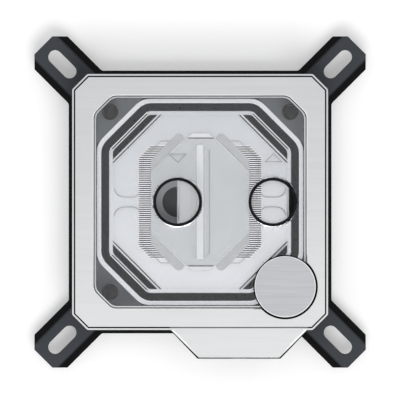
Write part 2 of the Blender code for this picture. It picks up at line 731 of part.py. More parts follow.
def port_cutter(name, x):
    """Port bore as wide as its thread's root, with a slanted mouth and a narrower core and well below."""
    mouth = PORT_DEPTH + PORT_WELL_DEPTH
    mouth_radius = PORT_RADIUS + PORT_MOUTH_CHAMFER
    thread_end = mouth - PORT_THREAD_DEPTH
    profile = [
        (0, mouth + CUT_MARGIN),
        (mouth_radius, mouth + CUT_MARGIN),
        (mouth_radius, mouth),
        (PORT_RADIUS, mouth - PORT_MOUTH_CHAMFER),
        (PORT_RADIUS, thread_end),
        (PORT_CORE_RADIUS, thread_end - PORT_RADIUS + PORT_CORE_RADIUS),
        (PORT_CORE_RADIUS, PORT_WELL_DEPTH),
        (PORT_WELL_RADIUS, PORT_WELL_DEPTH),
        (PORT_WELL_RADIUS, 0),
        (0, 0),
    ]
    return turned_solid(name, profile, x, 0, PORT_FLOOR - PORT_WELL_DEPTH, PORT_STEPS)


def frame_screw_places():
    """Two small screws on each of the two sides that carry no light strip."""
    return [(side * RIM_MIDDLE, end * FRAME_SCREW_REACH) for side in (1, -1) for end in (1, -1)]


def badge_notch():
    """Round notch that the frame's badge lug takes out of the island's corner."""
    low, high = TOP_SHOULDER - CUT_MARGIN * 2, ISLAND_TOP + CUT_MARGIN
    return round_cutter("badge_notch", BADGE_LUG_RADIUS + CLEARANCE, BADGE_X, BADGE_Y, low, high, PORT_STEPS)


def window_outline(outward):
    window = octagon(WINDOW_HALF + outward, WINDOW_DIAGONAL + outward)
    return rounded(window, WINDOW_CORNER + outward)


def island():
    """The clear top's raised middle, which fills the frame's window."""
    layers = [
        (window_outline(-CLEARANCE), TOP_SHOULDER - CUT_MARGIN),
        (window_outline(-CLEARANCE), ISLAND_TOP - ISLAND_CHAMFER),
        (window_outline(-CLEARANCE - ISLAND_CHAMFER), ISLAND_TOP),
    ]
    return cut(stacked_solid("island", layers), badge_notch())


def make_clear_top():
    body = rounded(octagon(TOP_HALF, TOP_DIAGONAL), FRAME_CORNER)
    boss = octagon(BRACKET_WINDOW - CLEARANCE, BRACKET_WINDOW_DIAGONAL - CLEARANCE)
    boss_outline = rounded(boss, BOSS_CORNER - CLEARANCE)
    boss_layers = [(boss_outline, INNER_FLOOR), (boss_outline, TOP_BOTTOM + CUT_MARGIN)]
    clear_top = flat_solid("clear_top", [body], TOP_BOTTOM, TOP_SHOULDER)
    join(clear_top, stacked_solid("lower_boss", boss_layers))
    cut(clear_top, gasket_groove())
    for number, (sign_x, sign_y) in enumerate(CORNERS, 1):
        x, y = sign_x * CORNER_SCREW_PLACE, sign_y * CORNER_SCREW_PLACE
        cut(
            clear_top,
            seal_slot(number, sign_x, sign_y),
            corner_screw_hole(f"tapped_hole_{number}", x, y),
        )
    join(clear_top, island())
    cut(
        clear_top,
        outflow_chamber(),
        funnel(),
        port_cutter("inlet_port", INLET_X),
        port_cutter("outlet_port", OUTLET_X),
    )
    for number, (x, y) in enumerate(frame_screw_places(), 1):
        cut(clear_top, small_screw_hole(f"top_screw_hole_{number}", x, y))
    return show(clear_top, finish("clear_acrylic", (0.92, 0.94, 0.95), 0.05, 0.0, 1.0))


def tab_corners(extra=0.0):
    """Tab at the frame's lower edge, from its right root round to its left root."""
    root = TAB_HALF_WIDTH + extra
    tip = TAB_HALF_WIDTH - TAB_REACH + extra
    edge = TAB_EDGE - extra
    return [
        Vector((TAB_CENTRE - root, -FRAME_HALF)),
        Vector((TAB_CENTRE - tip, edge)),
        Vector((TAB_CENTRE + tip, edge)),
        Vector((TAB_CENTRE + root, -FRAME_HALF)),
    ]


def tab_outline():
    """The tab's outline, with its root running in under the plateau."""
    outline = rounded_between(tab_corners(), FRAME_CORNER)
    root = Vector((0, PLATEAU_INSET * 2))
    return [outline[0] + root, *outline[1:-1], outline[-1] + root]


def window_cutter():
    """Cutter for the frame's window, slanted at its upper edge."""
    layers = [
        (window_outline(0), FRAME_BOTTOM - CUT_MARGIN),
        (window_outline(0), PLATEAU_TOP - WINDOW_CHAMFER),
        (window_outline(WINDOW_CHAMFER + CUT_MARGIN), PLATEAU_TOP + CUT_MARGIN),
    ]
    return stacked_solid("window", layers)


def step_groove():
    """Fine groove in the lip, which the plateau's side closes on the inside."""
    outlines = [
        rounded(octagon(FRAME_HALF - inset, FRAME_DIAGONAL - inset), FRAME_CORNER)
        for inset in (PLATEAU_INSET - STEP_GROOVE_WIDTH, PLATEAU_INSET + STEP_GROOVE_WIDTH)
    ]
    return flat_solid("step_groove", outlines, LIP_TOP - STEP_GROOVE_DEPTH, LIP_TOP + CUT_MARGIN)


def make_cover_frame():
    plateau = octagon(FRAME_HALF - PLATEAU_INSET, FRAME_DIAGONAL - PLATEAU_INSET)
    lip = rounded(octagon(FRAME_HALF, FRAME_DIAGONAL), FRAME_CORNER)
    frame = flat_solid("cover_frame", [lip], FRAME_BOTTOM, LIP_TOP)
    tab = flat_solid("frame_tab", [tab_outline()], FRAME_BOTTOM, LIP_TOP)
    join(chamfer_top(frame, LIP_CHAMFER, 2), chamfer_top(tab, LIP_CHAMFER, 2))
    raised_bottom = LIP_TOP - LIP_THICKNESS / 2
    raised = flat_solid("plateau", [rounded(plateau, FRAME_CORNER)], raised_bottom, PLATEAU_TOP)
    lug_outline = circle(BADGE_X, BADGE_Y, BADGE_LUG_RADIUS, BADGE_STEPS)
    lug_bottom, lug_top = FRAME_BOTTOM + BADGE_LUG_RELIEF, LIP_TOP + PLATEAU_STEP / 2
    lug = flat_solid("badge_lug", [lug_outline], lug_bottom, lug_top)
    pocket = [circle(BADGE_X, BADGE_Y, BADGE_SEAT_RADIUS + CLEARANCE, BADGE_STEPS)]
    cut(frame, step_groove())
    join(frame, chamfer_top(raised, PLATEAU_CHAMFER))
    cut(frame, window_cutter())
    join(frame, lug)
    cut(frame, flat_solid("badge_pocket", pocket, LIP_TOP, PLATEAU_TOP + CUT_MARGIN))
    for number, (x, y) in enumerate(frame_screw_places(), 1):
        cut(frame, small_screw_hole(f"frame_screw_hole_{number}", x, y))
    for number, x in enumerate(housing_screw_places(), 1):
        cut(frame, small_screw_hole(f"tab_screw_hole_{number}", x, HOUSING_SCREW_Y))
    return show(frame, finish("brushed_aluminium", (0.70, 0.71, 0.72), 0.32, 1.0))


def make_badge():
    seat_outline = circle(BADGE_X, BADGE_Y, BADGE_SEAT_RADIUS, BADGE_STEPS)
    seat = flat_solid("badge_seat", [seat_outline], BADGE_SEAT_BOTTOM, BADGE_SEAT_TOP)
    profile = [
        (0, BADGE_THICKNESS),
        (BADGE_RADIUS - BADGE_EDGE, BADGE_THICKNESS),
        (BADGE_RADIUS, BADGE_THICKNESS - BADGE_EDGE),
        (BADGE_RADIUS, 0),
        (0, 0),
    ]
    disc = turned_solid("badge_disc", profile, BADGE_X, BADGE_Y, BADGE_BOTTOM, BADGE_STEPS)
    show(seat, finish("black_plastic_seat", (0.03, 0.03, 0.03), 0.5, 0.0))
    return show(disc, finish("brushed_badge", (0.62, 0.63, 0.65), 0.35, 1.0))


def housing_screw_places():
    return [TAB_CENTRE - HOUSING_SCREW_REACH, TAB_CENTRE + HOUSING_SCREW_REACH]


def housing_outline(inset=0.0):
    """Outline of the light strip's housing: the tab's, a little larger, back to the clear top's side."""
    corners = tab_corners(HOUSING_RIM - inset)
    back = HOUSING_BACK
    slope = Vector((corners[1].x - corners[0].x, corners[1].y - corners[0].y)).normalized()
    lift = (back - corners[0].y) / slope.y
    left_back = corners[0] + slope * lift
    right_back = Vector((2 * TAB_CENTRE - left_back.x, back))
    return [left_back, corners[1], corners[2], right_back]


def make_light_housing():
    """Tray that closes the light strip in from below, open towards the clear top."""
    tray = flat_solid("light_housing", [housing_outline()], TOP_BOTTOM, TOP_SHOULDER)
    hollow = housing_outline(HOUSING_WALL)
    for point in hollow:
        point.y += CUT_MARGIN if point.y > HOUSING_BACK - WELD else 0
    floor = TOP_BOTTOM + HOUSING_WALL
    cut(tray, flat_solid("housing_hollow", [hollow], floor, TOP_SHOULDER + CUT_MARGIN))
    post_radius = SMALL_SCREW_HEAD + CLEARANCE + HOUSING_POST_WALL
    post_bottom, post_top = floor - HOUSING_WALL / 2, TOP_SHOULDER - CLEARANCE
    for number, x in enumerate(housing_screw_places(), 1):
        post_outline = circle(x, HOUSING_SCREW_Y, post_radius)
        join(tray, flat_solid(f"housing_post_{number}", [post_outline], post_bottom, post_top))
    for number, x in enumerate(housing_screw_places(), 1):
        cut(tray, small_screw_hole(f"housing_screw_hole_{number}", x, HOUSING_SCREW_Y))
    notch_left, notch_right = TAB_CENTRE - CABLE_NOTCH_WIDTH / 2, TAB_CENTRE + CABLE_NOTCH_WIDTH / 2
    notch = box_outline(notch_left, notch_right, TAB_EDGE - CUT_MARGIN, TAB_EDGE + HOUSING_WALL * 2)
    sill = TOP_SHOULDER - CABLE_NOTCH_HEIGHT
    cut(tray, flat_solid("cable_notch", [notch], sill, TOP_SHOULDER + CUT_MARGIN))
    return show(tray, finish("black_housing_plastic", (0.025, 0.025, 0.028), 0.5, 0.0))


def make_light_strip():
    half = TAB_HALF_WIDTH - BOARD_END_GAP
    back, front = BOARD_Y - BOARD_THICKNESS / 2, BOARD_Y + BOARD_THICKNESS / 2
    outline = box_outline(TAB_CENTRE - half, TAB_CENTRE + half, back, front)
    low = LIGHT_LEVEL - BOARD_HEIGHT / 2
    board = flat_solid("light_board", [outline], low, low + BOARD_HEIGHT)
    show(board, finish("white_circuit_board", (0.75, 0.76, 0.74), 0.45, 0.0))
    for number in range(LED_COUNT):
        x = TAB_CENTRE + (number - (LED_COUNT - 1) / 2) * LED_PITCH
        make_led(f"led_{number + 1}", x, front + CLEARANCE + LED_DEPTH)


def make_led(name, x, front):
    """Square lamp with a round lens cup in its face, standing on the board's side."""
    half = LED_SIZE / 2
    outline = box_outline(x - half, x + half, front - LED_DEPTH, front)
    lamp = flat_solid(name, [outline], LIGHT_LEVEL - half, LIGHT_LEVEL + half)
    cup = round_cutter(name + "_cup", LED_LENS_RADIUS, 0, 0, 0, LED_LENS_DEPTH + CUT_MARGIN)
    cup.rotation_euler.x = -pi / 2
    cup.location = (x, front - LED_LENS_DEPTH, LIGHT_LEVEL)
    cut(lamp, cup)
    return show(lamp, finish(name + "_package", (0.85, 0.84, 0.78), 0.35, 0.0))


def make_corner_screw(number, sign_x, sign_y):
    x, y = sign_x * CORNER_SCREW_PLACE, sign_y * CORNER_SCREW_PLACE
    screw = turned_solid(f"corner_screw_{number}", corner_screw_profile(0), x, y, CORNER_SCREW_BOTTOM)
    drive = CORNER_SCREW_RADIUS * DRIVE_SHARE
    cut(screw, hexagon_cutter(f"corner_drive_{number}", drive, x, y, CORNER_SCREW_BOTTOM, DRIVE_DEPTH))
    return show(screw, finish(f"black_screw_{number}", (0.05, 0.05, 0.055), 0.4, 0.6))


def make_small_screw(name, x, y):
    profile = small_screw_profile(0)
    screw = turned_solid(name, profile, x, y, SMALL_SCREW_BOTTOM, SMALL_STEPS)
    drive = SMALL_SCREW_HEAD * DRIVE_SHARE
    depth = SMALL_SCREW_HEAD_HEIGHT * DRIVE_SHARE
    cut(screw, hexagon_cutter(name + "_drive", drive, x, y, SMALL_SCREW_BOTTOM, depth))
    return show(screw, finish(name + "_steel", (0.45, 0.45, 0.46), 0.35, 1.0))


def make_screws():
    for number, (sign_x, sign_y) in enumerate(CORNERS, 1):
        make_corner_screw(number, sign_x, sign_y)
    for number, (x, y) in enumerate(frame_screw_places(), 1):
        make_small_screw(f"frame_screw_{number}", x, y)
    for number, x in enumerate(housing_screw_places(), 1):
        make_small_screw(f"housing_screw_{number}", x, HOUSING_SCREW_Y)


clear_scene()
PIECES = new_collection("cpu_water_block")
CUTTERS = new_collection("cutters")
make_cold_plate()
make_main_gasket()
make_corner_seals()
make_jet_plate()
make_flow_insert()
make_mounting_bracket()
make_clear_top()
make_cover_frame()
make_badge()
make_light_housing()
make_light_strip()
make_screws()
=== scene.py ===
"""Looks of a CPU water block: the finishes of its pieces, with painted shade and highlights, its fine
detail and a plain studio.
"""

from math import cos, pi, radians, sin, sqrt

import bmesh
import bpy
from mathutils import Matrix, Vector


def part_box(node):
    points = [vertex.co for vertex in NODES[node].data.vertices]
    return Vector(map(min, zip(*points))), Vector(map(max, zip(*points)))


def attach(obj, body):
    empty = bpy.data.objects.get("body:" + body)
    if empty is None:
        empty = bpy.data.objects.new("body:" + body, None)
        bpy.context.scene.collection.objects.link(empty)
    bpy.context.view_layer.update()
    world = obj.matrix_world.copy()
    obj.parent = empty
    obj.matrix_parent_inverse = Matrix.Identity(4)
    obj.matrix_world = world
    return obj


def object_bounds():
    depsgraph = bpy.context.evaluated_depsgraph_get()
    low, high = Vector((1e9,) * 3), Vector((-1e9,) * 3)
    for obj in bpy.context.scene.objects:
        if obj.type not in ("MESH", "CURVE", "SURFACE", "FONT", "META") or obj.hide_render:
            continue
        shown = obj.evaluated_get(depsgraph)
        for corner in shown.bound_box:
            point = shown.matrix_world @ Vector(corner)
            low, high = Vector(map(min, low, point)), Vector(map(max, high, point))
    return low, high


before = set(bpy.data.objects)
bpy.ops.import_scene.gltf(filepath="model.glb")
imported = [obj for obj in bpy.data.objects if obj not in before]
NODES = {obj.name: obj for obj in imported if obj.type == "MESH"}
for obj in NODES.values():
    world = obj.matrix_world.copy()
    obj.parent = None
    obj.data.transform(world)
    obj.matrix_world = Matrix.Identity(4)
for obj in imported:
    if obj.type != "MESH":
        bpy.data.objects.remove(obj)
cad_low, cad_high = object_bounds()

BODY = "root"

# Camera, straight above the block and far off, so that its levels hardly differ in scale
CAMERA_HEIGHT = 5.0
CAMERA_X = -0.00003
CAMERA_Y = 0.00055
PLANE_WIDTH = 0.1102
PLANE_LEVEL = 0.012
SENSOR_WIDTH = 36.0
NEAR_CLIP = 0.01

# Studio
FLOOR_SIZE = 6.0
FLOOR_GAP = 0.0001
FLOOR_SHADE = 0.97
FLOOR_GLOW = 0.24
SKY_SHADE = 0.62
SEEN_WHITE = 1.0
SEEN_RAYS = ("Is Camera Ray", "Is Glossy Ray", "Is Transmission Ray")
KEY_PLACE = (0.10, -0.55, 0.95)
KEY_SIZE = 0.7
KEY_POWER = 4.4

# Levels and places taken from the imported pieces
TOP_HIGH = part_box("clear_top")[1]
FRAME_LOW, FRAME_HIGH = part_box("cover_frame")
PLATE_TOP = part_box("cold_plate")[1].z
BRACKET_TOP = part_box("mounting_bracket")[1].z
GASKET_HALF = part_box("main_gasket")[1].x
BADGE_LOW, BADGE_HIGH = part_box("badge_seat")
BADGE_CENTRE = (BADGE_LOW + BADGE_HIGH) / 2
BADGE_RADIUS = (BADGE_HIGH.x - BADGE_LOW.x) / 2

# Cover frame: its outline, its step groove and its tab
FRAME_HALF = FRAME_HIGH.x
FRAME_CORNER_CUT = 0.0042
FRAME_DIAGONAL = (2 * FRAME_HALF - FRAME_CORNER_CUT) / sqrt(2)
# Zones for the painted shade in the step groove and the pocket round the window, and for the edge
# highlight
WINDOW_ZONE = 0.0320
POCKET_ZONE = 0.0330
GROOVE_START = 0.03436
GROOVE_END = 0.03472
GROOVE_FADE = 0.00004
PLATEAU_STEP = 0.0008
LIP_CHAMFER = 0.0005
TAB_TOP = FRAME_HIGH.z - PLATEAU_STEP
TAB_CENTRE = 0.0107
TAB_HALF_WIDTH = 0.0187
TAB_SIDE_START = -0.0347
TAB_SIDE_END = -0.0423
TAB_SIDE_ROOT = 0.002767
TAB_SIDE_DROP = 0.00001
TAB_FADE = 0.00105

# Window's inner side, where the clear top's chamfered island stands in it
ISLAND_HALF = 0.02902
ISLAND_DIAGONAL = 0.03762
ISLAND_CHAMFER = 0.0004
ISLAND_EDGE = 0.00034
ISLAND_CORNER = 0.0030
BADGE_GAP = 0.0003
ISLAND_SKIN = 0.00002
# Width of the painted shade line at the island's upper edge
ISLAND_RIM = 0.00013

# Milled seats under the clear top's corners, round the corner screws, and painted shade rings at their
# holes' rims
CORNER_SEAT_DIAGONAL = 0.03146
CORNER_SEAT_HEIGHT = 0.0001
SCREW_HOLE = 0.00225
SCREW_RIM = 0.00032
SEAT_LIFT = 0.0001

# Fine lines of painted shade and highlight for what the cavities' edges show in the clear top
LINE_HEIGHT = 0.00004
CHAMBER_CEILING = 0.0110
SEAT_CEILING = 0.0085
LAND_MARGIN = 0.0012
LAND_CORNER = 0.0055

# Painted shade and highlight lines along the slanted walls of the chamber, the seal slots and the gasket
# groove, by their distance from the middle
WALL_SHADE = 0.02466
WALL_GLINT = 0.02498
WALL_HALF_RUN = 0.0093
SLOT_GLINT = 0.02716
SLOT_SHADE = 0.02746
SLOT_HALF_RUN = 0.0068
GASKET_GLINT = 0.02778
GASKET_HALF_RUN = 0.0072
SHADE_WIDTH = 0.00022
WALL_GLINT_WIDTH = 0.00018
SLOT_GLINT_WIDTH = 0.00014
GASKET_GLINT_WIDTH = 0.00024

# Painted shade and highlight lines at the edges of the insert's seat, in one quarter of the block
END_EDGE = [(-0.00335, 0.01762), (0.0037, 0.01762)]
END_GLINT_PATCH = [(-0.0035, 0.01778), (0.0036, 0.01778), (0.0024, 0.0189), (-0.0022, 0.0189)]
SEAT_WALL = [(0.0043, 0.0172), (0.01345, 0.00835)]
SEAT_EDGE = [(0.0083, 0.01682), (0.01082, 0.01682), (0.01606, 0.01158), (0.01606, 0.0078)]
SEAT_EDGE_WIDTH = 0.00012
NOZZLE_EDGE_X = 0.00266
NOZZLE_EDGE_HALF = 0.0143
SLIT_CENTRE = -0.00003
SLIT_GLINT_HALF = 0.0157
SLIT_GLINT_WIDTH = 0.0019

# Ends of the bridges, along which a painted grey line runs: a small round corner that runs out into a
# wide one
BRIDGE_END = (0.0185, 0.00315)
BRIDGE_END_RADIUS = 0.0018
BRIDGE_END_ANGLES = (212, 270)
BRIDGE_SIDE = (0.0210, 0.00395)
BRIDGE_SIDE_RADIUS = 0.0026
BRIDGE_SIDE_ANGLES = (270, 355)
BRIDGE_LINE_WIDTH = 0.00013

# Fin field and the slit over it
FIN_HALF = 0.0169
FIN_LENGTH = 0.0155
FIN_DIAGONAL = 0.0206
FIN_TOP_DEPTH = 0.0002
FIN_ROOT_DEPTH = 0.0035
FIN_EDGE = 0.0001
SLIT_HALF = 0.00097

# Ports and their threads
INLET_X = -0.0062
OUTLET_X = 0.02003
THREAD_ROOT = 0.00674
THREAD_CREST = 0.0059
THREAD_PITCH = 0.00134
THREAD_TURNS = 4
THREAD_START = 0.0004
THREAD_SHARE = 0.46
THREAD_STEPS = 48
THREAD_RUNOUT = 12
PORT_CORE = 0.0060
PORT_DEPTH = 0.0077
PORT_WELL = 0.0042
PORT_WELL_DEPTH = 0.0010
PORT_FLOOR = TOP_HIGH.z - PORT_DEPTH
WELL_FLOOR = PORT_FLOOR - PORT_WELL_DEPTH
# Painted shade and highlight on the port floors
WELL_ANGLES = (91.4, 268.6)
CORE_ANGLES = (91, 269)
PORT_STEPS = 24
FUNNEL_EDGE = 0.0001
INLET_WALL_OFFSET = 0.0002
INLET_WALL_WIDTH = 0.00036
OUTLET_ANGLES = (-42, 42)
OUTLET_WALL_X = 0.02410
OUTLET_WALL_WIDTH = 0.00025

# Flow marks engraved in the clear top
MARK_LINE = 0.00016
MARK_DEPTH = 0.00004
INLET_MARK = [(-0.0086, 0.0132), (-0.0061, 0.01085), (-0.0039, 0.0132)]
OUTLET_MARK = [(0.0179, 0.0111), (0.0201, 0.0133), (0.0224, 0.0111)]

# Making of the pieces: flat ones are drawn in millimetres, and repeated in the quarters
DRAWING_SCALE = 0.001
CORNERS = ((1, 1), (-1, 1), (-1, -1), (1, -1))
RIGHT_CORNERS = ((1, 1), (1, -1))
SHARP_ANGLE = 35
THREAD_MERGE = 0.000001
PLATE_MERGE = 0.0000001


class Wire:
    """One socket in a finish, which can be used in plain arithmetic."""

    def __init__(self, finish, socket):
        self.finish = finish
        self.socket = socket

    def maths(self, operation, *values):
        """Result of a math node on some values."""
        sockets = dict(enumerate(values))
        return self.finish.node("ShaderNodeMath", {"operation": operation}, sockets)

    def __add__(self, other):
        return self.maths("ADD", self, other)

    def __radd__(self, other):
        return self.maths("ADD", other, self)

    def __sub__(self, other):
        return self.maths("SUBTRACT", self, other)

    def __rsub__(self, other):
        return self.maths("SUBTRACT", other, self)

    def __mul__(self, other):
        return self.maths("MULTIPLY", self, other)

    def __rmul__(self, other):
        return self.maths("MULTIPLY", other, self)

    def __abs__(self):
        return self.maths("ABSOLUTE", self)

    def maximum(self, other):
        return self.maths("MAXIMUM", self, other)


class Finish:
    """A material, or the sky, that is built node by node."""

    def __init__(self, name, sky=None):
        self.owner = sky or bpy.data.materials.new(name)
        self.owner.use_nodes = True
        self.tree = self.owner.node_tree
        self.tree.nodes.clear()

    def node(self, kind, settings=None, sockets=None, output=0):
        """Adds a node: its settings first, then the value or wire of each named socket."""
        node = self.tree.nodes.new(kind)
        for setting, value in (settings or {}).items():
            setattr(node, setting, value)
        for socket, value in (sockets or {}).items():
            if isinstance(value, Wire):
                self.tree.links.new(value.socket, node.inputs[socket])
            else:
                node.inputs[socket].default_value = value
        return Wire(self, node.outputs[output]) if node.outputs else None

    def place(self):
        """Position on the object, in metres."""
        return self.node("ShaderNodeTexCoord", output="Object")

    def along(self, axis):
        """Distance along an axis from the block's middle, in metres."""
        return self.node("ShaderNodeSeparateXYZ", None, {0: self.place()}, output=axis)

    def reach(self, added_y, added_diagonal):
        """Half width of the octagon through this point, once the added lengths even out its sides."""
        side_x, side_y = abs(self.along("X")), abs(self.along("Y"))
        slanted = (side_x + side_y) * sqrt(0.5) + added_diagonal
        return side_x.maximum(side_y + added_y).maximum(slanted)

    def facing_up(self):
        """1 on faces that look up, 0 on upright ones."""
        normal = self.node("ShaderNodeTexCoord", output="Normal")
        return self.node("ShaderNodeSeparateXYZ", None, {0: normal}, output="Z")

    def between(self, value, start, end):
        """0 below start, 1 above end, with a soft passage."""
        sockets = {"Value": value, "From Min": start, "From Max": end}
        return self.node("ShaderNodeMapRange", {"interpolation_type": "SMOOTHSTEP"}, sockets)

    def noise(self, scale, detail=2.0, stretch=(1, 1, 1)):
        """Noise from 0 to 1, with its grain stretched along the axes."""
        stretched = self.node("ShaderNodeMapping", None, {"Vector": self.place(), "Scale": stretch})
        sockets = {"Vector": stretched, "Scale": scale, "Detail": detail}
        return self.node("ShaderNodeTexNoise", None, sockets)

    def tint(self, factor, first, second):
        """A colour between two, by a factor."""
        colours = [value if isinstance(value, Wire) else (*value, 1) for value in (first, second)]
        sockets = {0: factor, 6: colours[0], 7: colours[1]}
        return self.node("ShaderNodeMix", {"data_type": "RGBA"}, sockets, output=2)

    def bump(self, height, distance):
        """Relief as high as the distance, in metres."""
        sockets = {"Height": height, "Distance": distance, "Strength": 1.0}
        return self.node("ShaderNodeBump", None, sockets)

    def ray(self, *kinds):
        """1 for rays of any of these kinds, 0 for others."""
        found = self.node("ShaderNodeLightPath", output=kinds[0])
        for kind in kinds[1:]:
            found = found.maximum(self.node("ShaderNodeLightPath", output=kind))
        return found

    def principled(self, **sockets):
        """The main shader, with its sockets given by name."""
        named = {name.replace("_", " "): value for name, value in sockets.items()}
        return self.node("ShaderNodeBsdfPrincipled", None, named)

    def done(self, surface):
        """Ends the tree, and hands back the material or the sky."""
        kind = "World" if isinstance(self.owner, bpy.types.World) else "Material"
        self.node(f"ShaderNodeOutput{kind}", None, {"Surface": surface})
        return self.owner


def brushed_aluminium():
    """Satin metal of the cover frame: long brush lines, polished cut edges with a painted highlight,
    painted shade in the step groove and in the pocket round the window, and painted light that makes its
    lower side lighter.
    """
    finish = Finish("brushed_aluminium")
    lines = finish.noise(1.0, 4.0, (45, 1500, 1500))
    cloud = finish.noise(45.0, 2.0)
    up = finish.facing_up()
    reach = finish.reach(0, FRAME_HALF - FRAME_DIAGONAL)
    outward = finish.between(reach, GROOVE_END, GROOVE_END + GROOVE_FADE)
    # Painted shade: near black in the step groove, less dark where it runs along the tab.
    groove = finish.between(reach, GROOVE_START - GROOVE_FADE, GROOVE_START) * (1 - outward)
    trimmed = 1 - finish.between(reach, WINDOW_ZONE - GROOVE_FADE, WINDOW_ZONE) * (1 - outward)
    # Cut edges are polished, and painted near white as a highlight; their steeper facet is painted flat
    # white with little metal.
    leaning = finish.between(up, 0.15, 0.35)
    level = finish.between(up, 0.93, 0.98)
    polished_edge_and_highlight = leaning * (1 - level) * trimmed
    above_tab = finish.between(finish.along("Y"), TAB_SIDE_START, TAB_SIDE_START + TAB_FADE)
    low_down = 1 - finish.between(finish.along("Z"), TAB_TOP, TAB_TOP + GROOVE_FADE)
    inner_part = 1 - finish.between(reach, POCKET_ZONE, POCKET_ZONE + GROOVE_FADE)
    # Painted shade: near black on upward faces below the tab's top, inside the pocket zone round the
    # window.
    pocket = finish.between(up, 0.7, 0.9) * low_down * inner_part
    from_tab = abs(finish.along("X") - TAB_CENTRE)
    beside_tab = finish.between(from_tab, TAB_HALF_WIDTH, TAB_HALF_WIDTH + LIP_CHAMFER)
    shade = (groove * (0.45 + above_tab.maximum(beside_tab) * 0.55)).maximum(pocket)
    # Painted light: the satin colour is lighter towards the frame's lower side and darker towards its
    # upper side.
    painted_shade_toward_top = finish.between(finish.along("Y"), FRAME_LOW.y, FRAME_HALF)
    upper = finish.tint(lines * 0.7 + cloud * 0.3, (0.465, 0.473, 0.482), (0.545, 0.553, 0.562))
    lower = finish.tint(lines * 0.7 + cloud * 0.3, (0.515, 0.523, 0.527), (0.585, 0.593, 0.597))
    satin = finish.tint(painted_shade_toward_top, lower, upper)
    edged = finish.tint(polished_edge_and_highlight, satin, (1.0, 1.0, 1.0))
    colour = finish.tint(shade, edged, (0.006, 0.006, 0.007))
    rough = 0.32 + lines * 0.10 - polished_edge_and_highlight * 0.22
    steep = polished_edge_and_highlight * (1 - finish.between(up, 0.6, 0.85))
    metal = 1 - shade.maximum(steep * 0.8)
    return finish.done(finish.principled(
        Base_Color=colour, Metallic=metal, Roughness=rough, Specular_IOR_Level=0.1,
        Normal=finish.bump(lines, distance=0.000003),
    ))


def brushed_badge():
    """Darker satin disc with fine level brush lines and a bright turned edge."""
    finish = Finish("brushed_badge")
    lines = finish.noise(1.0, 4.0, (70, 1900, 1900))
    edge = 1 - finish.between(finish.facing_up(), 0.85, 0.97)
    satin = finish.tint(lines, (0.335, 0.345, 0.358), (0.450, 0.460, 0.473))
    colour = finish.tint(edge, satin, (0.90, 0.91, 0.92))
    rough = 0.34 + lines * 0.12 - edge * 0.2
    return finish.done(finish.principled(
        Base_Color=colour, Metallic=1.0, Roughness=rough, Normal=finish.bump(lines, distance=0.000004),
    ))


def coated_steel():
    """Black coated sheet: a fine orange peel and slight cloudiness, with painted shade that makes its
    folded flanges deep black.
    """
    finish = Finish("coated_steel")
    peel = finish.noise(2600.0, 2.0)
    cloud = finish.noise(60.0, 3.0)
    flat = finish.between(finish.facing_up(), 0.75, 0.98)
    flat_colour = finish.tint(cloud, (0.052, 0.057, 0.065), (0.066, 0.072, 0.081))
    # Painted shade: faces that slope away from the top, such as the folded flanges, are near black.
    colour = finish.tint(flat, (0.002, 0.002, 0.0025), flat_colour)
    rough = 0.50 + cloud * 0.12
    return finish.done(finish.principled(
        Base_Color=colour, Roughness=rough, Specular_IOR_Level=0.05,
        Normal=finish.bump(peel, distance=0.000006),
    ))


def nickel_plate():
    """Bright plated copper with faint mill lines, painted light on its lower half, a painted highlight
    on the fin tops and painted shade in the channels between the fins.
    """
    finish = Finish("nickel_plate")
    lines = finish.noise(1.0, 2.0, (160, 4200, 4200))
    cloud = finish.noise(90.0, 2.0)
    # Painted light: the plated face is lighter on the block's lower half than on its upper half.
    upper = finish.tint(cloud, (0.590, 0.606, 0.626), (0.630, 0.646, 0.666))
    lower = finish.tint(cloud, (0.690, 0.702, 0.718), (0.730, 0.742, 0.758))
    bright = finish.tint(finish.between(finish.along("Y"), -GASKET_HALF, GASKET_HALF), lower, upper)
    reach = finish.reach(FIN_HALF - FIN_LENGTH, FIN_HALF - FIN_DIAGONAL)
    outside = finish.between(reach, FIN_HALF, FIN_HALF + FIN_EDGE)
    beside_slit = finish.between(abs(finish.along("X")), SLIT_HALF, SLIT_HALF + FIN_EDGE)
    depth = PLATE_TOP - finish.along("Z")
    below_root = finish.between(depth, FIN_ROOT_DEPTH, FIN_ROOT_DEPTH + FIN_EDGE)
    field = (1 - outside) * beside_slit * (1 - below_root)
    # Painted shade: near black, with no metal, in the channels between the fins.
    fin_channel_shade = finish.between(depth, FIN_TOP_DEPTH, FIN_TOP_DEPTH * 2) * field
    # Painted highlight: the fin tops are lighter than the rest of the plate.
    fin_top_highlight = finish.tint(field, bright, (0.84, 0.85, 0.86))
    colour = finish.tint(fin_channel_shade, fin_top_highlight, (0.010, 0.011, 0.013))
    metal = 1 - fin_channel_shade
    rough = 0.16 + lines * 0.04
    return finish.done(finish.principled(
        Base_Color=colour, Metallic=metal, Roughness=rough, Specular_IOR_Level=0.1,
        Normal=finish.bump(lines, distance=0.0000005),
    ))


def jet_steel():
    """Pale satin sheet, with a painted highlight in a band along its slit."""
    finish = Finish("jet_steel")
    cloud = finish.noise(300.0, 3.0)
    beside_slit = finish.between(abs(finish.along("X")), SLIT_HALF, SLIT_HALF + FIN_EDGE)
    satin = finish.tint(cloud, (0.485, 0.495, 0.503), (0.525, 0.535, 0.543))
    # Painted highlight: near white in the band along the slit.
    colour = finish.tint(beside_slit, (0.86, 0.87, 0.89), satin)
    rough = 0.12 + cloud * 0.05
    return finish.done(finish.principled(Base_Color=colour, Metallic=0.9, Roughness=rough))


